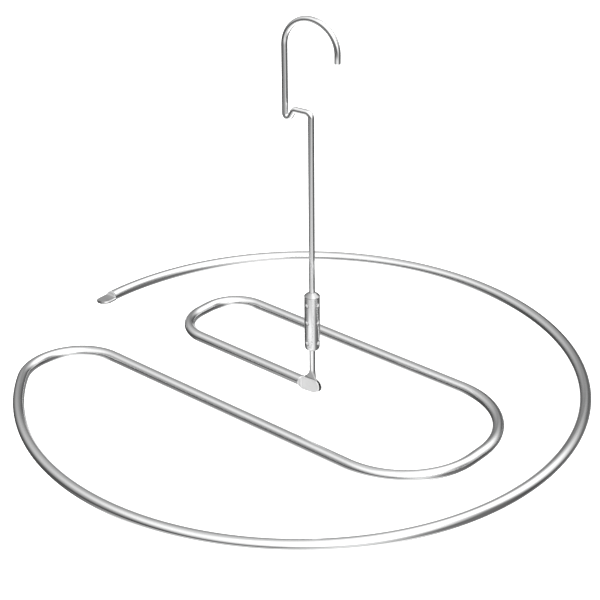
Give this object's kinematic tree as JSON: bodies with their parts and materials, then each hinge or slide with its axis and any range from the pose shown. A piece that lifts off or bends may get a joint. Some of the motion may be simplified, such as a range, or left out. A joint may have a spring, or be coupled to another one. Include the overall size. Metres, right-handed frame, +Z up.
{
  "type": "spiral drying rack",
  "caption": "Steel tube bent into a flat spiral that hangs level from a swivelling rod hook, for airing bed sheets and quilts in a spiral fold.",
  "frame": {"origin": "the saddle of the hook, the inside top of its arch, where it rests on a rail", "axes": "+Z up along the stem and the swivel axis; +X along the straights of the spiral, towards the wide turn; +Y from the front straight towards the rear straight"},
  "size_m": [0.498, 0.5, 0.3416],
  "materials": {
    "tube_steel": "polished bent tube",
    "rod_steel": "bright drawn rod",
    "sleeve_steel": "satin crimped tube",
    "turned_steel": "fine turned",
    "weld_steel": "matt weld"
  },
  "bodies": {
    "hook": {"hook_rod": "rod_steel"},
    "rack": {"spiral_tube": "tube_steel", "foot_weld": "weld_steel", "lower_rod": "rod_steel", "end_plug": "turned_steel", "swivel_sleeve": "sleeve_steel", "thrust_washer": "turned_steel", "guide_bush": "turned_steel", "top_bush": "turned_steel"}
  },
  "joints": [
    {"name": "hook_swivel", "type": "hinge", "parent": "hook", "child": "rack", "pos_m": [0, 0, -0.2651], "axis": [0, 0, 1], "continuous": true}
  ]
}
